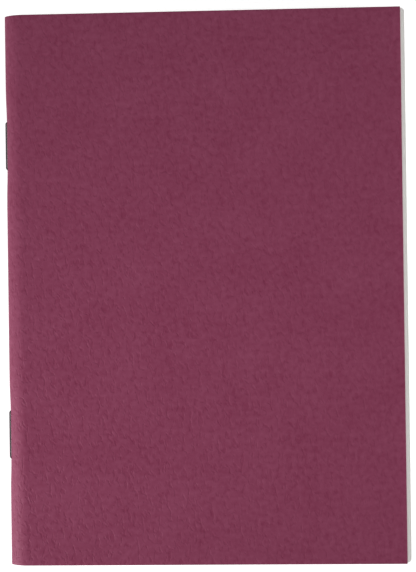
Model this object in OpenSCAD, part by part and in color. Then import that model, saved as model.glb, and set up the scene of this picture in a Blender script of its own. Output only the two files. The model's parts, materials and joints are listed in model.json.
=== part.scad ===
/* [Pages] */
// Folded sheets nested inside the cover
sheets = 12; // [6:1:16]
// Width of the innermost leaf, half of its sheet
page_w = 105; // [80:0.5:150]
// Height of the pages, head to tail
page_h = 146.4; // [110:0.1:210]
// Thickness of the paper
paper_t = 0.09; // [0.06:0.01:0.15]
// Air between neighbouring sheets in the fold
paper_gap = 0.012; // [0.01:0.002:0.03]
// How far each leaf's fore-edge stands out beyond the leaf around it
edge_step = 0.08; // [0:0.01:0.2]

/* [Cover] */
// Width of one half of the cover card
cover_w = 106.1; // [80:0.1:155]
// Height of the cover, head to tail
cover_h = 147; // [112:0.1:212]
// Thickness of the cover card
cover_t = 0.3; // [0.2:0.05:0.5]
// Angle at which the closed cover springs open
spread = 1.25; // [0.5:0.25:6]

/* [Fold] */
// How far a fold's shoulder reaches for each unit of its half thickness
reach = 2; // [1.2:0.1:2.4]

/* [Staples] */
// Diameter of the staple wire
wire_d = 0.4; // [0.3:0.02:0.6]
// Outside length of a staple's crown
crown_w = 13; // [9:0.5:16]
// Distance between the middles of the two staples
staple_pitch = 77.5; // [50:0.5:90]
// Radius of the wire's bends, on its centre line
wire_bend = 0.45; // [0.4:0.05:0.7]
// Length of a clinched leg beyond its bend
clinch = 3.8; // [2:0.1:4]
// Clearance between the wire and the paper around it
wire_clear = 0.05; // [0.03:0.01:0.1]
// How deep a crown is pressed into the spine
crown_sink = 0.25; // [0.1:0.01:0.3]

/* [Hidden] */
$fn = 180;

// A fold is a pointed arch. All folds are scaled copies of one arch about the hinge line, which runs
// through the clinched wire, so the leaves turn about one line and the wire is its pin.

// Shortest way from the hinge line to an arch whose half thickness is 1
arch_near = (reach * reach + 1) / 2 - (reach - 1) * sqrt(1 + pow((reach + 1) / 2, 2));

// Half thickness of the innermost sheet, with room for the clinched wire
core_h = (wire_d / 2 + wire_clear + paper_t / 2) / arch_near;

// Step of half thickness from one sheet to the next
sheet_step = (paper_t + paper_gap) / arch_near;

// Half thickness of each sheet's middle surface, counted from the outermost
function sheet_h(k) = core_h + (sheets - k) * sheet_step;

// Half thickness of the cover's middle surface
cover_mid = sheet_h(1) + (paper_t / 2 + paper_gap + cover_t / 2) / arch_near;

// Lean of a leaf from the middle plane: none in the innermost leaf, most in the outermost and the cover
function lean(h) = spread / 2 * min(1, (h - core_h) / (sheet_h(1) - core_h));

// Where the flat part of a leaf starts, measured along the leaf from the hinge line
function flat_start(h) = (reach - 1) * h;

// Drop and run from the flat start to the crease, in the leaf's own leaning frame
function arch_drop(h) = h * (1 - sin(lean(h)));
function arch_run(h) = flat_start(h) + h * cos(lean(h));

// Radius of the arch that is tangent to the flat part and passes through the crease
function arch_r(h) = (pow(arch_run(h), 2) + pow(arch_drop(h), 2)) / (2 * arch_drop(h));

// Length of half a fold along the paper
function arch_len(h) = arch_r(h) * asin(arch_run(h) / arch_r(h)) * PI / 180;

// Where a half of a folded sheet ends, measured along the leaf from the hinge line
function fore_edge(h, half_w) = half_w - arch_len(h) + flat_start(h);

// Where each leaf ends: the pages are trimmed together, and the fold then holds the outer ones back
function page_edge(k) = fore_edge(core_h, page_w) - (sheets - k) * edge_step;

// Where the cover ends
cover_edge = fore_edge(cover_mid, cover_w);

// Centre of an arch, in the middle plane's frame
function arch_x(h) = flat_start(h) * cos(lean(h)) - (h - arch_r(h)) * sin(lean(h));
function arch_z(h) = flat_start(h) * sin(lean(h)) + (h - arch_r(h)) * cos(lean(h));

// Distance of the cover's outer crease from the hinge line
spine_x = sqrt(pow(arch_r(cover_mid) + cover_t / 2, 2) - pow(arch_z(cover_mid), 2)) - arch_x(cover_mid);

// Distance of the crown's centre line from the hinge line
crown_x = spine_x + wire_d / 2 - crown_sink;

// Distance of a leg from the middle of its staple
leg_y = crown_w / 2 - wire_d / 2;

// Height of the hinge line above the back cover's outer face
hinge_z = cover_mid + cover_t / 2;

// Reach of the model on each side of the hinge line, for an origin in the middle
left_x = crown_x * cos(spread / 2) + wire_d / 2;
page_tilt = spread / 2 - lean(core_h);
page_x = page_edge(sheets) * cos(page_tilt) + (core_h + paper_t / 2) * sin(page_tilt);
right_x = max(page_x, cover_edge);
hinge_x = (left_x - right_x) / 2;

// A square larger than any fold
beyond = 4 * arch_r(cover_mid);

cover_colour = [0.49, 0.22, 0.32];
paper_colour = [0.95, 0.94, 0.91];
wire_colour = [0.42, 0.42, 0.43];

function two_digits(k) = k < 10 ? str("0", k) : str(k);
function leaf_front_name(k) = str("leaf_front_", two_digits(k));
function leaf_back_name(k) = str("leaf_back_", two_digits(k));
function fold_name(k) = str("fold_", two_digits(k));

// Frame of the middle plane: X from the hinge line to the fore-edge, Z from back to front
module in_book() {
    translate([hinge_x, 0, hinge_z])
        rotate([0, -spread / 2, 0])
            children();
}

// The front half as drawn, or the back half as its mirror image
module on_side(front) {
    if (front)
        children();
    else
        mirror([0, 0, 1])
            children();
}

// Flat part of a leaf or of a half of the cover
module flat_leaf(h, t, edge, tall) {
    rotate([0, -lean(h), 0])
        translate([flat_start(h), -tall / 2, h - t / 2])
            cube([edge - flat_start(h), tall, t]);
}

// Section of the front half of a fold, from the crease to where the leaf turns flat
module arch_section(h, t) {
    intersection() {
        translate([arch_x(h), arch_z(h)])
            difference() {
                circle(r = arch_r(h) + t / 2);
                circle(r = arch_r(h) - t / 2);
            }
        rotate(lean(h))
            translate([flat_start(h) - beyond, -beyond / 2])
                square([beyond, beyond]);
        translate([-beyond / 2, 0])
            square([beyond, beyond]);
    }
}

// Both halves of a fold, pierced for the staples and dented by their crowns
module fold_strip(h, t, tall) {
    difference() {
        rotate([90, 0, 0])
            linear_extrude(height = tall, center = true)
                union() {
                    arch_section(h, t);
                    mirror([0, 1])
                        arch_section(h, t);
                }
        for (side = [-1, 1])
            translate([0, side * staple_pitch / 2, 0])
                staple_wire(wire_d + 2 * wire_clear);
    }
}

// A quarter bend of wire in the staple's plane, from a given direction
module wire_corner(d, from) {
    rotate([0, 0, from])
        rotate_extrude(angle = 90)
            translate([wire_bend, 0])
                circle(d = d);
}

// One staple in a given thickness of wire: crown along the spine, legs through the fold,
// and the bends where the ends turn towards each other
module staple_wire(d) {
    translate([-crown_x, wire_bend - leg_y, 0])
        rotate([-90, 0, 0])
            cylinder(d = d, h = 2 * (leg_y - wire_bend));
    for (end = [0, 1])
        mirror([0, end, 0]) {
            translate([-crown_x + wire_bend, leg_y - wire_bend, 0])
                wire_corner(d, 90);
            translate([-crown_x + wire_bend, leg_y, 0])
                rotate([0, 90, 0])
                    cylinder(d = d, h = crown_x - 2 * wire_bend);
            translate([-wire_bend, leg_y - wire_bend, 0])
                wire_corner(d, 0);
        }
}

// A whole staple, its ends clinched along the hinge line
module staple() {
    staple_wire(wire_d);
    for (end = [0, 1])
        mirror([0, end, 0])
            translate([0, leg_y - wire_bend, 0])
                rotate([90, 0, 0])
                    cylinder(d = wire_d, h = clinch);
}

module cover_front() {
    color(cover_colour)
        in_book()
            flat_leaf(cover_mid, cover_t, cover_edge, cover_h);
}

module cover_back() {
    color(cover_colour)
        in_book()
            on_side(false)
                flat_leaf(cover_mid, cover_t, cover_edge, cover_h);
}

module cover_spine() {
    color(cover_colour)
        in_book()
            fold_strip(cover_mid, cover_t, cover_h);
}

module staple_head() {
    color(wire_colour)
        in_book()
            translate([0, staple_pitch / 2, 0])
                staple();
}

module staple_tail() {
    color(wire_colour)
        in_book()
            translate([0, -staple_pitch / 2, 0])
                staple();
}

module leaf_front(k) {
    color(paper_colour)
        in_book()
            flat_leaf(sheet_h(k), paper_t, page_edge(k), page_h);
}

module leaf_back(k) {
    color(paper_colour)
        in_book()
            on_side(false)
                flat_leaf(sheet_h(k), paper_t, page_edge(k), page_h);
}

module fold(k) {
    color(paper_colour)
        in_book()
            fold_strip(sheet_h(k), paper_t, page_h);
}

cover_front();
cover_back();
cover_spine();
staple_head();
staple_tail();
for (k = [1:sheets]) {
    leaf_front(k);
    leaf_back(k);
    fold(k);
}
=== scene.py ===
"""Notebook insert: a folded card cover, nested paper sheets and two wire staples.

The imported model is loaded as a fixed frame, in metres, and each piece is drawn where its solids are.
"""

import json
import math
from collections import namedtuple

import bpy
from bpy.props import FloatProperty, FloatVectorProperty, IntProperty, PointerProperty
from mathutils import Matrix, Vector


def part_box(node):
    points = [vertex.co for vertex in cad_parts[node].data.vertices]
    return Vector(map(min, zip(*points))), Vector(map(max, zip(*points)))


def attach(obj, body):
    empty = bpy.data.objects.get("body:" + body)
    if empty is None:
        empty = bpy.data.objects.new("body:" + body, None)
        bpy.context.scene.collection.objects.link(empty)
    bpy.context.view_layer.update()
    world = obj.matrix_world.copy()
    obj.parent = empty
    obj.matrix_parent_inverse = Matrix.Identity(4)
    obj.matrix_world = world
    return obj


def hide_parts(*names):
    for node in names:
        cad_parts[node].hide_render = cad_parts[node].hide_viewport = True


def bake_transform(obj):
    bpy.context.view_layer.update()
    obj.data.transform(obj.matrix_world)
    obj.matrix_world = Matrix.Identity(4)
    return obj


bl_info = {
    "name": "Notebook Insert",
    "version": (1, 0, 0),
    "blender": (4, 5, 0),
    "location": "3D View > Sidebar > Notebook",
    "description": "Folds a stapled notebook insert from card, paper and wire",
    "category": "Add Mesh",
}

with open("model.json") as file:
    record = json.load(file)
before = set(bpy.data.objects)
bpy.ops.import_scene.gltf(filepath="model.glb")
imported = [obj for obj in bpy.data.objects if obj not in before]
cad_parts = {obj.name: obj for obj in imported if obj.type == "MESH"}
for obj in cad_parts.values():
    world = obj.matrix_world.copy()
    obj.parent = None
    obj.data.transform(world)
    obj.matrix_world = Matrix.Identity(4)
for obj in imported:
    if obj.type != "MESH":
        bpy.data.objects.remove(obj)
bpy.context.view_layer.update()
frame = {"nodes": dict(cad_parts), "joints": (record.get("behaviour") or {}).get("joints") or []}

MM = 0.001
HINGE = Vector(frame["joints"][0]["pos_m"])
SHEET_COUNT = sum(name.startswith("fold_") for name in frame["nodes"])


def middle(node):
    """Middle of a solid's box."""
    low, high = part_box(node)
    return (Vector(low) + Vector(high)) / 2


def height_of(node):
    """Size of a solid from head to tail."""
    low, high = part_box(node)
    return high[1] - low[1]


def linear(hex_colour):
    """An sRGB hex colour as the linear values that shaders take."""
    shares = [int(hex_colour[i : i + 2], 16) / 255 for i in (1, 3, 5)]
    return tuple(s / 12.92 if s <= 0.04045 else ((s + 0.055) / 1.055) ** 2.4 for s in shares)


def length(name, description, millimetres):
    """Settings of a length that a user may change."""
    return {
        "name": name,
        "description": description,
        "default": millimetres * MM,
        "min": 0.0,
        "precision": 6,
        "unit": "LENGTH",
    }


def colour(name, description, hex_colour):
    """Settings of a colour that a user may change."""
    return {
        "name": name,
        "description": description,
        "default": linear(hex_colour),
        "min": 0.0,
        "max": 1.0,
        "size": 3,
        "subtype": "COLOR",
    }


class NotebookSizes(bpy.types.PropertyGroup):
    """Sizes of the cover, the sheets, their folds and the staples."""

    sheets: IntProperty(
        name="Sheets",
        description="Folded sheets nested inside the cover",
        default=SHEET_COUNT,
        min=2,
        max=SHEET_COUNT,
    )
    page_width: FloatProperty(
        **length("Page width", "Width of the innermost leaf, half of its sheet", 105)
    )
    page_height: FloatProperty(
        **length("Page height", "Pages from head to tail", height_of("leaf_front_01") / MM)
    )
    paper_thickness: FloatProperty(**length("Paper thickness", "Thickness of a sheet", 0.09))
    paper_gap: FloatProperty(
        **length("Paper gap", "Air between neighbouring sheets in the fold", 0.012)
    )
    edge_step: FloatProperty(
        **length("Edge step", "How far a fore-edge stands out beyond the leaf around it", 0.08)
    )
    # Where folds overlap, cut ends in one plane would render black, so the cuts are a hair uneven
    trim_step: FloatProperty(
        **length("Trim step", "How much shorter each sheet is cut than the one around it", 0.004)
    )
    out_of_square: FloatProperty(
        name="Out of square",
        description="Share by which a sheet is cut taller in front and less tall behind",
        default=0.0007,
        subtype="FACTOR",
    )
    cover_width: FloatProperty(**length("Cover width", "Width of one half of the card", 106.1))
    cover_height: FloatProperty(
        **length("Cover height", "Cover from head to tail", height_of("cover_front") / MM)
    )
    card_thickness: FloatProperty(**length("Card thickness", "Thickness of the cover", 0.3))
    spread: FloatProperty(
        name="Spread",
        description="Angle at which the closed cover springs open",
        default=math.radians(1.25),
        min=0.0,
        unit="ROTATION",
    )
    fold_reach: FloatProperty(
        name="Fold reach",
        description="How far a fold's shoulder reaches for each unit of its half thickness",
        default=2.0,
        min=1.01,
        subtype="FACTOR",
    )
    wire_diameter: FloatProperty(**length("Wire diameter", "Thickness of the staple wire", 0.4))
    crown_width: FloatProperty(**length("Crown width", "Outside length of a staple", 13))
    staple_pitch: FloatProperty(
        **length(
            "Staple pitch",
            "Distance between the middles of the staples",
            (middle("staple_head") - middle("staple_tail")).y / MM,
        )
    )
    wire_bend: FloatProperty(**length("Wire bend", "Radius of the wire's bends", 0.45))
    clinch: FloatProperty(**length("Clinch", "Length of a leg beyond its bend", 3.8))
    wire_clear: FloatProperty(**length("Wire clearance", "Room around the wire", 0.05))
    crown_sink: FloatProperty(**length("Crown sink", "Depth of a crown in the spine", 0.25))
    dent: FloatProperty(**length("Dent", "Depth to which a crown dents the spine", 0.2))
    dent_fade: FloatProperty(
        **length("Dent fade", "Length over which a dent fades along the spine", 5.0)
    )
    crease_soften: FloatProperty(
        **length("Crease softening", "How much of the sharp crease is rubbed round", 0.06)
    )
    cut_round: FloatProperty(
        **length("Cut rounding", "Radius to which the card's cut edges are rounded", 0.1)
    )
    wave: FloatProperty(**length("Wave", "Rise of the front leaves' gentle waves", 0.3))
    wave_length: FloatProperty(**length("Wave length", "Size of the gentle waves", 90))


class NotebookColours(bpy.types.PropertyGroup):
    """Colours of the card, the paper, the wire and the stage."""

    # The card's tone runs between these two colours. It varies at random with the dye and the pulp, and
    # the felt hollows lean to the deep colour as painted shade.
    card: FloatVectorProperty(**colour("Card", "Raised places of the dyed card", "#833A56"))
    card_deep: FloatVectorProperty(**colour("Card, deep", "Hollows of the dyed card", "#722342"))
    paper: FloatVectorProperty(**colour("Paper", "Blank pages", "#F5F4F1"))
    paper_shade: FloatVectorProperty(
        **colour("Paper, shade", "Thin places of the paper", "#EDECE8")
    )
    wire: FloatVectorProperty(**colour("Wire", "Galvanised wire of the staples", "#5C5658"))
    wire_dull: FloatVectorProperty(**colour("Wire, dull", "Tarnish of the wire", "#423D40"))
    floor: FloatVectorProperty(**colour("Floor", "Pale floor under the notebook", "#F7F7F7"))


def add_node(tree, kind, sockets=None, **settings):
    """Adds a node with its settings. Each socket is given an output to link or a value."""
    node = tree.nodes.new(kind)
    for key, value in settings.items():
        setattr(node, key, value)
    for key, value in (sockets or {}).items():
        if isinstance(value, bpy.types.NodeSocket):
            tree.links.new(value, node.inputs[key])
        else:
            node.inputs[key].default_value = value
    return node


def add_steps(tree, kind, steps, known):
    """Adds a node of a kind for each step (name, operation, operands) to the known values."""
    for name, operation, *operands in steps:
        sockets = {i: known.get(o, o) for i, o in enumerate(operands)}
        known[name] = add_node(tree, kind, sockets, operation=operation).outputs[0]
    return known


def new_tree(name, inputs):
    """An empty geometry tree with the named inputs, and its input sockets by name."""
    tree = bpy.data.node_groups.new(name, "GeometryNodeTree")
    tree.is_modifier = True
    tree.interface.new_socket("Geometry", in_out="OUTPUT", socket_type="NodeSocketGeometry")
    for socket, kind in inputs:
        tree.interface.new_socket(socket, in_out="INPUT", socket_type="NodeSocket" + kind)
    group = tree.nodes.new("NodeGroupInput")
    return tree, {socket.name: socket for socket in group.outputs if socket.name}


def finish_tree(tree, geometry, material):
    """Ends a tree in plain geometry with its material."""
    real = add_node(tree, "GeometryNodeRealizeInstances", {0: geometry})
    dressed = add_node(
        tree, "GeometryNodeSetMaterial", {"Geometry": real.outputs[0], "Material": material}
    )
    add_node(tree, "NodeGroupOutput", {0: dressed.outputs[0]})


# Facets of a rounded rim, the corner from which a rim is rounded, and the one that stays sharp
RIM_SEGMENTS = 3
RIM_ANGLE = math.radians(75)
SHARP_ANGLE = math.radians(40)


def grow(name, tree, values, thickness=0.0, rounding=0.0):
    """Makes a plain mesh from a tree and its inputs. It may get a wall, with rounded rims."""
    piece = bpy.data.objects.new(name, bpy.data.meshes.new(name))
    bpy.context.scene.collection.objects.link(piece)
    modifier = piece.modifiers.new("Shape", "NODES")
    modifier.node_group = tree
    identifiers = {
        item.name: item.identifier
        for item in tree.interface.items_tree
        if item.item_type == "SOCKET" and item.in_out == "INPUT"
    }
    for socket, value in values.items():
        modifier[identifiers[socket]] = value
    if thickness:
        wall = piece.modifiers.new("Wall", "SOLIDIFY")
        wall.thickness = thickness
        wall.offset = 0.0
        wall.use_even_offset = True
        wall.use_quality_normals = True
    if rounding:
        rim = piece.modifiers.new("Rim", "BEVEL")
        rim.width = rounding
        rim.segments = RIM_SEGMENTS
        rim.limit_method = "ANGLE"
        rim.angle_limit = RIM_ANGLE
    depsgraph = bpy.context.evaluated_depsgraph_get()
    mesh = bpy.data.meshes.new_from_object(
        piece.evaluated_get(depsgraph), preserve_all_data_layers=True, depsgraph=depsgraph
    )
    if not mesh.polygons:
        raise RuntimeError(f"{name} came out empty")
    piece.modifiers.clear()
    piece.data = mesh
    mesh.name = name
    mesh.shade_smooth()
    mesh.set_sharp_from_angle(angle=SHARP_ANGLE)
    return piece


# The shape of the folds

# Grids that are folded. Crowding is the columns' spacing at the crease, as a share of even spacing
COVER_GRID = {"Columns": 161, "Rows": 148, "Crowding": 0.12}
SHEET_GRID = {"Columns": 81, "Rows": 38, "Crowding": 0.05}

# Depth of the rubbed crease for each unit of its reach along the paper
CREASE_SLOPE = 0.25

# Place of a point on the paper, counted from the crease, where the columns crowd together,
# and its place on the folded section: round the arch, then along the flat leaf
SECTION_STEPS = (
    ("u square", "MULTIPLY", "u", "u"),
    ("u cube", "MULTIPLY", "u square", "u"),
    ("spare", "SUBTRACT", 1.0, "Crowding"),
    ("outer", "MULTIPLY", "u cube", "spare"),
    ("share", "MULTIPLY_ADD", "u", "Crowding", "outer"),
    ("place", "MULTIPLY", "share", "Half Width"),
    ("squareness", "MULTIPLY_ADD", "share", "Out Of Square", 1.0),
    ("tall", "MULTIPLY", "Height", "squareness"),
    ("y", "MULTIPLY", "v", "tall"),
    ("away", "ABSOLUTE", "place"),
    ("beyond", "SUBTRACT", "away", "Arch Length"),
    ("flat", "MAXIMUM", "beyond", 0.0),
    ("short", "MINIMUM", "beyond", 0.0),
    ("turn", "DIVIDE", "short", "Arch Radius"),
    ("turn sine", "SINE", "turn"),
    ("turn cosine", "COSINE", "turn"),
    ("arch run", "MULTIPLY_ADD", "turn sine", "Arch Radius", "Flat Start"),
    ("plain run", "ADD", "arch run", "flat"),
    ("arch centre", "SUBTRACT", "Half Thickness", "Arch Radius"),
    ("plain rise", "MULTIPLY_ADD", "turn cosine", "Arch Radius", "arch centre"),
)

# The staples' crowns press the spine in, and handling rubs its sharp crease round
CREASE_STEPS = (
    ("y away", "ABSOLUTE", "y"),
    ("half pitch", "MULTIPLY", "Staple Pitch", 0.5),
    ("from staple", "SUBTRACT", "y away", "half pitch"),
    ("from middle", "ABSOLUTE", "from staple"),
    ("past crown", "SUBTRACT", "from middle", "Crown Half Width"),
    ("past end", "MAXIMUM", "past crown", 0.0),
    ("past share", "DIVIDE", "past end", "Dent Fade"),
    ("past square", "MULTIPLY", "past share", "past share"),
    ("crease share", "DIVIDE", "away", "Half Thickness"),
    ("crease square", "MULTIPLY", "crease share", "crease share"),
    ("dent sum", "ADD", "past square", "crease square"),
    ("dent minus", "MULTIPLY", "dent sum", -1.0),
    ("dent bell", "EXPONENT", "dent minus"),
    ("dented run", "MULTIPLY_ADD", "dent bell", "Dent", "plain run"),
    ("soft share", "DIVIDE", "away", "Soften"),
    ("soft slow", "MULTIPLY", "soft share", CREASE_SLOPE),
    ("soft square", "MULTIPLY", "soft slow", "soft slow"),
    ("soft minus", "MULTIPLY", "soft square", -1.0),
    ("soft bell", "EXPONENT", "soft minus"),
    ("run", "MULTIPLY_ADD", "soft bell", "Soften", "dented run"),
)

# The front leaves rise in gentle waves towards the fore-edge, then each half leans from the
# middle plane, and the whole fold tilts so that the back cover lies flat
PLACE_STEPS = (
    ("side", "SIGN", "u"),
    ("front", "MAXIMUM", "side", 0.0),
    ("run share", "DIVIDE", "plain run", "Half Width"),
    ("run square", "MULTIPLY", "run share", "run share"),
    ("wave reach", "MULTIPLY", "run square", "front"),
    ("wave rise", "MULTIPLY", "wave reach", "Wave"),
    ("rise", "MULTIPLY_ADD", "wave", "wave rise", "plain rise"),
    ("lean cosine", "COSINE", "Lean"),
    ("lean sine", "SINE", "Lean"),
    ("run out", "MULTIPLY", "run", "lean cosine"),
    ("rise back", "MULTIPLY", "rise", "lean sine"),
    ("book x", "SUBTRACT", "run out", "rise back"),
    ("run up", "MULTIPLY", "run", "lean sine"),
    ("half z", "MULTIPLY_ADD", "rise", "lean cosine", "run up"),
    ("book z", "MULTIPLY", "half z", "side"),
    ("tilt cosine", "COSINE", "Tilt"),
    ("tilt sine", "SINE", "Tilt"),
    ("x along", "MULTIPLY", "book x", "tilt cosine"),
    ("x across", "MULTIPLY", "book z", "tilt sine"),
    ("x", "SUBTRACT", "x along", "x across"),
    ("z along", "MULTIPLY", "book x", "tilt sine"),
    ("z", "MULTIPLY_ADD", "book z", "tilt cosine", "z along"),
    ("flat u", "MULTIPLY_ADD", "share", 0.5, 0.5),
    ("flat v", "ADD", "v", 0.5),
)

FOLD_INPUTS = (
    ("Half Width", "Float"),
    ("Height", "Float"),
    ("Out Of Square", "Float"),
    ("Half Thickness", "Float"),
    ("Flat Start", "Float"),
    ("Arch Radius", "Float"),
    ("Arch Length", "Float"),
    ("Lean", "Float"),
    ("Tilt", "Float"),
    ("Hinge", "Vector"),
    ("Staple Pitch", "Float"),
    ("Crown Half Width", "Float"),
    ("Dent", "Float"),
    ("Dent Fade", "Float"),
    ("Soften", "Float"),
    ("Wave", "Float"),
    ("Wave Length", "Float"),
    ("Columns", "Int"),
    ("Rows", "Int"),
    ("Crowding", "Float"),
    ("Material", "Material"),
)


def folded_sheet_tree():
    """Folds a flat rectangle once over the staples, with its flat shape kept as a UV map."""
    tree, known = new_tree("Folded sheet", FOLD_INPUTS)
    grid = add_node(
        tree,
        "GeometryNodeMeshGrid",
        {
            "Size X": 2.0,
            "Size Y": 1.0,
            "Vertices X": known["Columns"],
            "Vertices Y": known["Rows"],
        },
    )
    position = add_node(tree, "GeometryNodeInputPosition")
    parts = add_node(tree, "ShaderNodeSeparateXYZ", {0: position.outputs[0]})
    known.update({"u": parts.outputs[0], "v": parts.outputs[1]})
    add_steps(tree, "ShaderNodeMath", SECTION_STEPS + CREASE_STEPS, known)
    on_paper = add_node(tree, "ShaderNodeCombineXYZ", {0: known["away"], 1: known["y"]})
    per_wave = add_node(
        tree, "ShaderNodeMath", {0: 1.0, 1: known["Wave Length"]}, operation="DIVIDE"
    )
    waves = add_node(
        tree,
        "ShaderNodeTexNoise",
        {"Vector": on_paper.outputs[0], "Scale": per_wave.outputs[0], "Detail": 0.0},
    )
    known["wave"] = waves.outputs[0]
    add_steps(tree, "ShaderNodeMath", PLACE_STEPS, known)
    flat = add_node(tree, "ShaderNodeCombineXYZ", {0: known["flat u"], 1: known["flat v"]})
    mapped = add_node(
        tree,
        "GeometryNodeStoreNamedAttribute",
        {"Geometry": grid.outputs["Mesh"], "Name": "Flat", "Value": flat.outputs[0]},
        data_type="FLOAT2",
        domain="CORNER",
    )
    folded = add_node(
        tree, "ShaderNodeCombineXYZ", {0: known["x"], 1: known["y"], 2: known["z"]}
    )
    placed = add_node(
        tree,
        "GeometryNodeSetPosition",
        {
            "Geometry": mapped.outputs[0],
            "Position": folded.outputs[0],
            "Offset": known["Hinge"],
        },
    )
    finish_tree(tree, placed.outputs[0], known["Material"])
    return tree


def arch_near(reach):
    """Shortest way from the hinge line to an arch whose half thickness is 1."""
    return (reach**2 + 1) / 2 - (reach - 1) * math.sqrt(1 + ((reach + 1) / 2) ** 2)


def sheet_halves(sizes):
    """Half thicknesses of the sheets' folds, from the outermost sheet to the innermost."""
    near = arch_near(sizes.fold_reach)
    core = (sizes.wire_diameter / 2 + sizes.wire_clear + sizes.paper_thickness / 2) / near
    step = (sizes.paper_thickness + sizes.paper_gap) / near
    return [core + i * step for i in reversed(range(sizes.sheets))]


def cover_half(sizes):
    """Half thickness of the cover's fold."""
    room = sizes.paper_thickness / 2 + sizes.paper_gap + sizes.card_thickness / 2
    return sheet_halves(sizes)[0] + room / arch_near(sizes.fold_reach)


def fold_values(sizes, half):
    """What the tree needs to fold a sheet of a given half thickness over the staples."""
    outer, *_, core = sheet_halves(sizes)
    lean = sizes.spread / 2 * min(1.0, (half - core) / (outer - core))
    flat_start = (sizes.fold_reach - 1) * half
    drop = half * (1 - math.sin(lean))
    run = flat_start + half * math.cos(lean)
    radius = (run**2 + drop**2) / (2 * drop)
    return {
        "Out Of Square": sizes.out_of_square,
        "Half Thickness": half,
        "Flat Start": flat_start,
        "Arch Radius": radius,
        "Arch Length": radius * math.asin(run / radius),
        "Lean": lean,
        "Tilt": sizes.spread / 2,
        "Hinge": HINGE,
        "Staple Pitch": sizes.staple_pitch,
        "Crown Half Width": sizes.crown_width / 2,
        "Dent": sizes.dent * half / cover_half(sizes),
        "Dent Fade": sizes.dent_fade,
        "Soften": sizes.crease_soften,
        "Wave": sizes.wave,
        "Wave Length": sizes.wave_length,
    }


def page_half_width(sizes, number, values):
    """Width of half a sheet before it is folded, for a sheet counted from the outermost."""
    inner = fold_values(sizes, sheet_halves(sizes)[-1])
    edge = sizes.page_width - inner["Arch Length"] + inner["Flat Start"]
    edge -= (sizes.sheets - number) * sizes.edge_step
    return edge + values["Arch Length"] - values["Flat Start"]


def crown_distance(sizes):
    """Distance of a crown's centre line from the hinge line."""
    values = fold_values(sizes, cover_half(sizes))
    half, radius, lean = (values[key] for key in ("Half Thickness", "Arch Radius", "Lean"))
    arch_x = values["Flat Start"] * math.cos(lean) - (half - radius) * math.sin(lean)
    arch_z = values["Flat Start"] * math.sin(lean) + (half - radius) * math.cos(lean)
    spine = math.sqrt((radius + sizes.card_thickness / 2) ** 2 - arch_z**2) - arch_x
    return spine + sizes.wire_diameter / 2 - sizes.crown_sink


def bend_at_fold(piece):
    """Bakes a folded piece's placement into its mesh."""
    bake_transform(piece)


# Points along a bend of the wire, and facets round it
BEND_POINTS = 10
WIRE_SIDES = 24

STAPLE_INPUTS = (
    ("Leg Spacing", "Float"),
    ("Crown Distance", "Float"),
    ("Clinch Gap", "Float"),
    ("Bend", "Float"),
    ("Wire Radius", "Float"),
    ("Tilt", "Float"),
    ("Place", "Vector"),
    ("Material", "Material"),
)


def staple_tree():
    """Bends a wire into a clinched staple: two ends along the hinge line, two legs, a crown."""
    tree, known = new_tree("Staple wire", STAPLE_INPUTS)
    steps = (
        ("leg", "MULTIPLY", "Leg Spacing", 0.5),
        ("minus leg", "MULTIPLY", "leg", -1.0),
        ("gap", "MULTIPLY", "Clinch Gap", 0.5),
        ("minus gap", "MULTIPLY", "gap", -1.0),
        ("crown", "MULTIPLY", "Crown Distance", -1.0),
        ("minus tilt", "MULTIPLY", "Tilt", -1.0),
    )
    add_steps(tree, "ShaderNodeMath", steps, known)
    corners = (
        (0.0, "gap"),
        (0.0, "leg"),
        ("crown", "leg"),
        ("crown", "minus leg"),
        (0.0, "minus leg"),
        (0.0, "minus gap"),
    )
    line = add_node(tree, "GeometryNodeCurvePrimitiveLine")
    points = add_node(
        tree, "GeometryNodeResampleCurve", {"Curve": line.outputs[0], "Count": len(corners)}
    )
    index = add_node(tree, "GeometryNodeInputIndex")
    switch = add_node(tree, "GeometryNodeIndexSwitch", data_type="VECTOR")
    while len(switch.index_switch_items) < len(corners):
        switch.index_switch_items.new()
    tree.links.new(index.outputs[0], switch.inputs["Index"])
    for i, (x, y) in enumerate(corners):
        corner = add_node(
            tree, "ShaderNodeCombineXYZ", {0: known.get(x, x), 1: known.get(y, y)}
        )
        tree.links.new(corner.outputs[0], switch.inputs[i + 1])
    bent = add_node(
        tree,
        "GeometryNodeSetPosition",
        {"Geometry": points.outputs[0], "Position": switch.outputs[0]},
    )
    rounded = add_node(
        tree,
        "GeometryNodeFilletCurve",
        {
            "Curve": bent.outputs[0],
            "Count": BEND_POINTS,
            "Radius": known["Bend"],
            "Limit Radius": True,
        },
        mode="POLY",
    )
    section = add_node(
        tree,
        "GeometryNodeCurvePrimitiveCircle",
        {"Resolution": WIRE_SIDES, "Radius": known["Wire Radius"]},
    )
    wire = add_node(
        tree,
        "GeometryNodeCurveToMesh",
        {
            "Curve": rounded.outputs[0],
            "Profile Curve": section.outputs[0],
            "Fill Caps": True,
        },
    )
    turn = add_node(tree, "ShaderNodeCombineXYZ", {1: known["minus tilt"]})
    placed = add_node(
        tree,
        "GeometryNodeTransform",
        {
            "Geometry": wire.outputs[0],
            "Translation": known["Place"],
            "Rotation": turn.outputs[0],
        },
    )
    finish_tree(tree, placed.outputs[0], known["Material"])
    return tree


# The materials

WHITE = (1.0, 1.0, 1.0, 1.0)

# How much each pattern lightens or darkens the dyed card, and how it raises or sinks its surface. The
# marks darken the felt hollows as painted shade.
CARD_TONE = {"base": -0.45, "clouds": 0.5, "fibres": 0.2, "mottle": 1.4, "marks": -0.2}
CARD_HEIGHT = {"marks": -1.0, "fibres": 0.04, "swells": 0.8}


def new_material(name):
    """A new material with one shader, its tree and that shader."""
    material = bpy.data.materials.new(name)
    material.use_nodes = True
    tree = material.node_tree
    tree.nodes.clear()
    shader = add_node(tree, "ShaderNodeBsdfPrincipled")
    add_node(tree, "ShaderNodeOutputMaterial", {"Surface": shader.outputs[0]})
    return material, tree, shader


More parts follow.
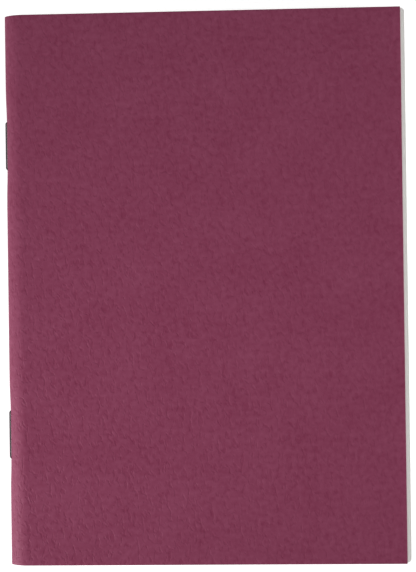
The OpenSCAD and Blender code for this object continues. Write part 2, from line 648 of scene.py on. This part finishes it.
def felt_marked_card(sizes, colours):
    """Dyed card, pressed between felts while wet: matt, with soft, nearly upright hollows and fibres."""
    material, tree, shader = new_material("felt_marked_card")
    flat = add_node(tree, "ShaderNodeUVMap", uv_map="Flat")
    card_mm = (2 * sizes.cover_width / MM, sizes.cover_height / MM, 1.0)
    on_card = add_node(
        tree, "ShaderNodeVectorMath", {0: flat.outputs[0], 1: card_mm}, operation="MULTIPLY"
    )
    # The felt leaves hollows about 1 by 0.6 mm, half a wave of the noise, a little off upright
    felt_wave_mm = (2.0, 1.15, 1.0)
    felt_slant = math.radians(-85)
    slanted = add_node(
        tree,
        "ShaderNodeMapping",
        {
            "Vector": on_card.outputs[0],
            "Rotation": (0.0, 0.0, felt_slant),
            "Scale": felt_wave_mm,
        },
        vector_type="TEXTURE",
    )
    felt = add_node(
        tree,
        "ShaderNodeTexNoise",
        {"Vector": slanted.outputs[0], "Scale": 1.0, "Detail": 1.0, "Distortion": 0.8},
    )
    marks = add_node(
        tree,
        "ShaderNodeMapRange",
        {"Value": felt.outputs[0], "From Min": 0.5, "From Max": 0.68},
        interpolation_type="SMOOTHSTEP",
    )
    # The pulp mottles in patches from about 1.4 mm down
    mottle_mm = 1.4
    mottle = add_node(
        tree,
        "ShaderNodeTexNoise",
        {"Vector": on_card.outputs[0], "Scale": 1 / mottle_mm, "Detail": 1.5, "Roughness": 0.6},
    )
    # Between the hollows the card swells over about 2.2 mm
    swell_mm = 2.2
    swells = add_node(
        tree,
        "ShaderNodeTexNoise",
        {"Vector": on_card.outputs[0], "Scale": 1 / swell_mm, "Detail": 1.0},
    )
    # Fibres are about 0.2 mm wide here, coarser than real ones so that they show
    fibre_wave_mm = 0.4
    fibres = add_node(
        tree,
        "ShaderNodeTexNoise",
        {"Vector": on_card.outputs[0], "Scale": 1 / fibre_wave_mm, "Detail": 2.0, "Roughness": 0.6},
    )
    # The dye takes unevenly over clouds of about 12 mm
    cloud_mm = 12.0
    clouds = add_node(
        tree,
        "ShaderNodeTexNoise",
        {"Vector": on_card.outputs[0], "Scale": 1 / cloud_mm, "Detail": 1.0},
    )
    known = {
        "clouds": clouds.outputs[0],
        "fibres": fibres.outputs[0],
        "marks": marks.outputs[0],
        "mottle": mottle.outputs[0],
        "swells": swells.outputs[0],
    }
    steps = (
        ("cloud part", "MULTIPLY_ADD", "clouds", CARD_TONE["clouds"], CARD_TONE["base"]),
        ("fibre part", "MULTIPLY_ADD", "fibres", CARD_TONE["fibres"], "cloud part"),
        ("mottle part", "MULTIPLY_ADD", "mottle", CARD_TONE["mottle"], "fibre part"),
        # Here the felt hollows are painted darker: painted shade in the hollows, on top of the bump
        ("tone", "MULTIPLY_ADD", "marks", CARD_TONE["marks"], "mottle part"),
        ("mark depth", "MULTIPLY", "marks", CARD_HEIGHT["marks"]),
        ("fine height", "MULTIPLY_ADD", "fibres", CARD_HEIGHT["fibres"], "mark depth"),
        ("height", "MULTIPLY_ADD", "swells", CARD_HEIGHT["swells"], "fine height"),
    )
    add_steps(tree, "ShaderNodeMath", steps, known)
    tone = add_node(
        tree,
        "ShaderNodeMix",
        {0: known["tone"], 6: (*colours.card_deep, 1.0), 7: (*colours.card, 1.0)},
        data_type="RGBA",
        clamp_factor=True,
    )
    hollow_depth = 0.055 * MM
    bump = add_node(
        tree,
        "ShaderNodeBump",
        {"Strength": 1.0, "Distance": hollow_depth, "Height": known["height"]},
    )
    rough = add_node(
        tree,
        "ShaderNodeMapRange",
        {"Value": fibres.outputs[0], "To Min": 0.5, "To Max": 0.75},
    )
    tree.links.new(tone.outputs[2], shader.inputs["Base Color"])
    tree.links.new(rough.outputs[0], shader.inputs["Roughness"])
    tree.links.new(bump.outputs[0], shader.inputs["Normal"])
    shader.inputs["Specular IOR Level"].default_value = 0.25
    shader.inputs["Sheen Weight"].default_value = 0.15
    shader.inputs["Sheen Roughness"].default_value = 0.4
    return material


def wove_paper(sizes, colours):
    """Uncoated wove paper: matt and white, cloudy where its fibres lie thinner."""
    material, tree, shader = new_material("uncoated_wove_paper")
    flat = add_node(tree, "ShaderNodeUVMap", uv_map="Flat")
    page_mm = (2 * sizes.page_width / MM, sizes.page_height / MM, 1.0)
    on_page = add_node(
        tree, "ShaderNodeVectorMath", {0: flat.outputs[0], 1: page_mm}, operation="MULTIPLY"
    )
    # Clouds of fibre are about 2.5 mm across
    cloud_mm = 2.5
    clouds = add_node(
        tree,
        "ShaderNodeTexNoise",
        {"Vector": on_page.outputs[0], "Scale": 1 / cloud_mm, "Detail": 3.0, "Roughness": 0.6},
    )
    # The tooth of the paper is about 0.2 mm, coarser than the real one so that it shows
    tooth_mm = 0.2
    tooth_depth = 0.008 * MM
    tooth = add_node(
        tree,
        "ShaderNodeTexNoise",
        {"Vector": on_page.outputs[0], "Scale": 1 / tooth_mm, "Detail": 2.0, "Roughness": 0.6},
    )
    tone = add_node(
        tree,
        "ShaderNodeMix",
        {0: clouds.outputs[0], 6: (*colours.paper_shade, 1.0), 7: (*colours.paper, 1.0)},
        data_type="RGBA",
    )
    bump = add_node(
        tree,
        "ShaderNodeBump",
        {"Strength": 0.6, "Distance": tooth_depth, "Height": tooth.outputs[0]},
    )
    rough = add_node(
        tree,
        "ShaderNodeMapRange",
        {"Value": tooth.outputs[0], "To Min": 0.82, "To Max": 0.96},
    )
    tree.links.new(tone.outputs[2], shader.inputs["Base Color"])
    tree.links.new(rough.outputs[0], shader.inputs["Roughness"])
    tree.links.new(bump.outputs[0], shader.inputs["Normal"])
    shader.inputs["Specular IOR Level"].default_value = 0.2
    return material


def galvanised_wire(colours):
    """Drawn steel wire, thinly galvanised: dull grey metal with fine lines along the wire."""
    material, tree, shader = new_material("galvanised_steel_wire")
    place = add_node(tree, "ShaderNodeTexCoord")
    # Drawing lines are about 0.04 mm wide and 3 mm long, along the crown
    line_width = 0.04 * MM
    line_length = 3.0 * MM
    line_depth = 0.004 * MM
    along = add_node(
        tree,
        "ShaderNodeMapping",
        {"Vector": place.outputs["Object"], "Scale": (line_width, line_length, line_width)},
        vector_type="TEXTURE",
    )
    lines = add_node(
        tree, "ShaderNodeTexNoise", {"Vector": along.outputs[0], "Scale": 1.0, "Detail": 1.0}
    )
    # Patches of tarnish are about 1.5 mm long
    patch_length = 1.5 * MM
    patches = add_node(
        tree,
        "ShaderNodeTexNoise",
        {"Vector": place.outputs["Object"], "Scale": 1 / patch_length, "Detail": 3.0},
    )
    tone = add_node(
        tree,
        "ShaderNodeMix",
        {0: patches.outputs[0], 6: (*colours.wire_dull, 1.0), 7: (*colours.wire, 1.0)},
        data_type="RGBA",
    )
    rough = add_node(
        tree,
        "ShaderNodeMapRange",
        {"Value": lines.outputs[0], "To Min": 0.3, "To Max": 0.5},
    )
    bump = add_node(
        tree,
        "ShaderNodeBump",
        {"Strength": 0.5, "Distance": line_depth, "Height": lines.outputs[0]},
    )
    tree.links.new(tone.outputs[2], shader.inputs["Base Color"])
    tree.links.new(rough.outputs[0], shader.inputs["Roughness"])
    tree.links.new(bump.outputs[0], shader.inputs["Normal"])
    shader.inputs["Metallic"].default_value = 1.0
    return material


# The stage: a floor and a room that show white, three soft lamps, and the camera above

FLOOR_HALF = 3.0
FLOOR_LEVEL = -0.05 * MM
FLOOR_GLOW = 0.55
ROOM_LIGHT = 0.56
SHOWN_LIGHT = 1.0

# Places, aims and sides in metres, beams in degrees, power in watts
Lamp = namedtuple("Lamp", "name place aim side beam power glossy")
LAMPS = (
    Lamp("window", (-0.4, -0.24, 0.1), (-0.03, -0.03, 0.0), 0.1, 60, 0.215, True),
    Lamp("softbox", (0.06, -0.04, 0.6), (-0.025, -0.015, 0.0), 0.06, 24, 0.006, False),
    Lamp("reflector", (0.3, 0.0, 0.035), (0.05, 0.0, 0.004), 0.06, 180, 0.55, False),
)

# Fitted to the outline of the cover in the photograph
CAMERA_PLACE = (6.55 * MM, -0.07 * MM, 360 * MM)
CAMERA_TURN_DEG = (0.07, 0.997, -0.779)
LENS_MM = 83.98
SENSOR_MM = 36
NEAREST_SEEN = 10 * MM


def seen_rays(tree):
    """1 for rays that show the stage itself: seen straight, mirrored or through something."""
    path = add_node(tree, "ShaderNodeLightPath")
    known = {socket.name: socket for socket in path.outputs}
    steps = (
        ("seen", "MAXIMUM", "Is Camera Ray", "Is Glossy Ray"),
        ("seen at all", "MAXIMUM", "seen", "Is Transmission Ray"),
    )
    return add_steps(tree, "ShaderNodeMath", steps, known)["seen at all"]


def pale_floor(colours):
    """Matt white board, a little brighter to the eye than to the light that it throws back."""
    material = bpy.data.materials.new("matt_white_board")
    material.use_nodes = True
    tree = material.node_tree
    tree.nodes.clear()
    board = add_node(tree, "ShaderNodeBsdfDiffuse", {"Color": (*colours.floor, 1.0)})
    lift = add_node(
        tree, "ShaderNodeMath", {0: seen_rays(tree), 1: FLOOR_GLOW}, operation="MULTIPLY"
    )
    glow = add_node(
        tree, "ShaderNodeEmission", {"Color": WHITE, "Strength": lift.outputs[0]}
    )
    both = add_node(tree, "ShaderNodeAddShader", {0: board.outputs[0], 1: glow.outputs[0]})
    add_node(tree, "ShaderNodeOutputMaterial", {"Surface": both.outputs[0]})
    return material


# The operators


class NOTEBOOK_OT_fold_cover(bpy.types.Operator):
    """Folds the card cover round the sheets"""

    bl_idname = "notebook.fold_cover"
    bl_label = "Fold cover"

    def execute(self, context):
        sizes = context.scene.notebook_sizes
        half = cover_half(sizes)
        values = fold_values(sizes, half)
        values.update(
            {
                "Half Width": sizes.cover_width,
                "Height": sizes.cover_height,
                **COVER_GRID,
                "Material": felt_marked_card(sizes, context.scene.notebook_colours),
            }
        )
        cover = grow(
            "card_cover", folded_sheet_tree(), values, sizes.card_thickness, sizes.cut_round
        )
        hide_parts("cover_front", "cover_back", "cover_spine")
        bend_at_fold(
            cover
        )
        return {"FINISHED"}


class NOTEBOOK_OT_fold_sheets(bpy.types.Operator):
    """Folds the paper sheets and nests them inside the cover"""

    bl_idname = "notebook.fold_sheets"
    bl_label = "Fold sheets"

    def execute(self, context):
        sizes = context.scene.notebook_sizes
        tree = folded_sheet_tree()
        paper = wove_paper(sizes, context.scene.notebook_colours)
        for number, half in enumerate(sheet_halves(sizes), 1):
            values = fold_values(sizes, half)
            values.update(
                {
                    "Half Width": page_half_width(sizes, number, values),
                    "Height": sizes.page_height - (number - 1) * sizes.trim_step,
                    **SHEET_GRID,
                    "Material": paper,
                }
            )
            sheet = grow(f"page_sheet_{number:02d}", tree, values, sizes.paper_thickness)
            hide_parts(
                f"leaf_front_{number:02d}",
                f"leaf_back_{number:02d}",
                f"fold_{number:02d}",
            )
            bend_at_fold(
                sheet,
            )
        return {"FINISHED"}


class NOTEBOOK_OT_bend_staples(bpy.types.Operator):
    """Bends both wire staples through the fold"""

    bl_idname = "notebook.bend_staples"
    bl_label = "Bend staples"

    def execute(self, context):
        sizes = context.scene.notebook_sizes
        tree = staple_tree()
        wire = galvanised_wire(context.scene.notebook_colours)
        spacing = sizes.crown_width - sizes.wire_diameter
        for end, side in (("head", 1), ("tail", -1)):
            values = {
                "Leg Spacing": spacing,
                "Crown Distance": crown_distance(sizes),
                "Clinch Gap": spacing - 2 * (sizes.wire_bend + sizes.clinch),
                "Bend": sizes.wire_bend,
                "Wire Radius": sizes.wire_diameter / 2,
                "Tilt": sizes.spread / 2,
                "Place": HINGE + Vector((0, side * sizes.staple_pitch / 2, 0)),
                "Material": wire,
            }
            staple = grow(f"wire_staple_{end}", tree, values)
            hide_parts(f"staple_{end}")
            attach(staple, "staples")
        return {"FINISHED"}


class NOTEBOOK_OT_set_stage(bpy.types.Operator):
    """Sets the pale floor, the soft light and the camera above the notebook"""

    bl_idname = "notebook.set_stage"
    bl_label = "Set stage"

    def execute(self, context):
        scene = context.scene
        scene.view_settings.view_transform = "Standard"

        board = bpy.data.meshes.new("floor")
        corners = [(-1, -1), (1, -1), (1, 1), (-1, 1)]
        points = [(x * FLOOR_HALF, y * FLOOR_HALF, FLOOR_LEVEL) for x, y in corners]
        board.from_pydata(points, [], [(0, 1, 2, 3)])
        board.materials.append(pale_floor(scene.notebook_colours))
        floor = bpy.data.objects.new("floor", board)
        scene.collection.objects.link(floor)

        world = bpy.data.worlds.new("soft_room")
        world.use_nodes = True
        tree = world.node_tree
        tree.nodes.clear()
        room, shown = (
            add_node(tree, "ShaderNodeBackground", {"Color": WHITE, "Strength": strength})
            for strength in (ROOM_LIGHT, SHOWN_LIGHT)
        )
        mixed = add_node(
            tree,
            "ShaderNodeMixShader",
            {0: seen_rays(tree), 1: room.outputs[0], 2: shown.outputs[0]},
        )
        add_node(tree, "ShaderNodeOutputWorld", {"Surface": mixed.outputs[0]})
        scene.world = world

        for source in LAMPS:
            light = bpy.data.lights.new(source.name, "AREA")
            light.size = source.side
            light.spread = math.radians(source.beam)
            light.energy = source.power
            lamp = bpy.data.objects.new(source.name, light)
            lamp.location = source.place
            towards = Vector(source.aim) - lamp.location
            lamp.rotation_euler = towards.to_track_quat("-Z", "Y").to_euler()
            lamp.visible_camera = False
            lamp.visible_glossy = source.glossy
            scene.collection.objects.link(lamp)

        lens = bpy.data.cameras.new("camera")
        lens.sensor_fit = "VERTICAL"
        lens.sensor_height = SENSOR_MM
        lens.lens = LENS_MM
        lens.clip_start = NEAREST_SEEN
        camera = bpy.data.objects.new("camera", lens)
        camera.location = CAMERA_PLACE
        camera.rotation_euler = [math.radians(a) for a in CAMERA_TURN_DEG]
        scene.collection.objects.link(camera)
        scene.camera = camera
        return {"FINISHED"}


class NOTEBOOK_PT_panel(bpy.types.Panel):
    """Lists the notebook's sizes, its colours and the steps that make it"""

    bl_idname = "NOTEBOOK_PT_panel"
    bl_label = "Notebook insert"
    bl_space_type = "VIEW_3D"
    bl_region_type = "UI"
    bl_category = "Notebook"

    def draw(self, context):
        for group in (context.scene.notebook_sizes, context.scene.notebook_colours):
            column = self.layout.column()
            for name in group.__annotations__:
                column.prop(group, name)
        for operator in OPERATORS:
            self.layout.operator(operator.bl_idname)


OPERATORS = (
    NOTEBOOK_OT_fold_cover,
    NOTEBOOK_OT_fold_sheets,
    NOTEBOOK_OT_bend_staples,
    NOTEBOOK_OT_set_stage,
)
CLASSES = (NotebookSizes, NotebookColours, *OPERATORS, NOTEBOOK_PT_panel)


def register():
    """Adds the classes and the scene's settings."""
    for cls in CLASSES:
        bpy.utils.register_class(cls)
    bpy.types.Scene.notebook_sizes = PointerProperty(type=NotebookSizes)
    bpy.types.Scene.notebook_colours = PointerProperty(type=NotebookColours)


def unregister():
    """Removes what register added."""
    del bpy.types.Scene.notebook_colours
    del bpy.types.Scene.notebook_sizes
    for cls in reversed(CLASSES):
        bpy.utils.unregister_class(cls)


def main():
    """Makes every piece and the stage."""
    register()
    bpy.ops.notebook.fold_cover()
    bpy.ops.notebook.fold_sheets()
    bpy.ops.notebook.bend_staples()
    bpy.ops.notebook.set_stage()


if __name__ == "__main__":
    main()
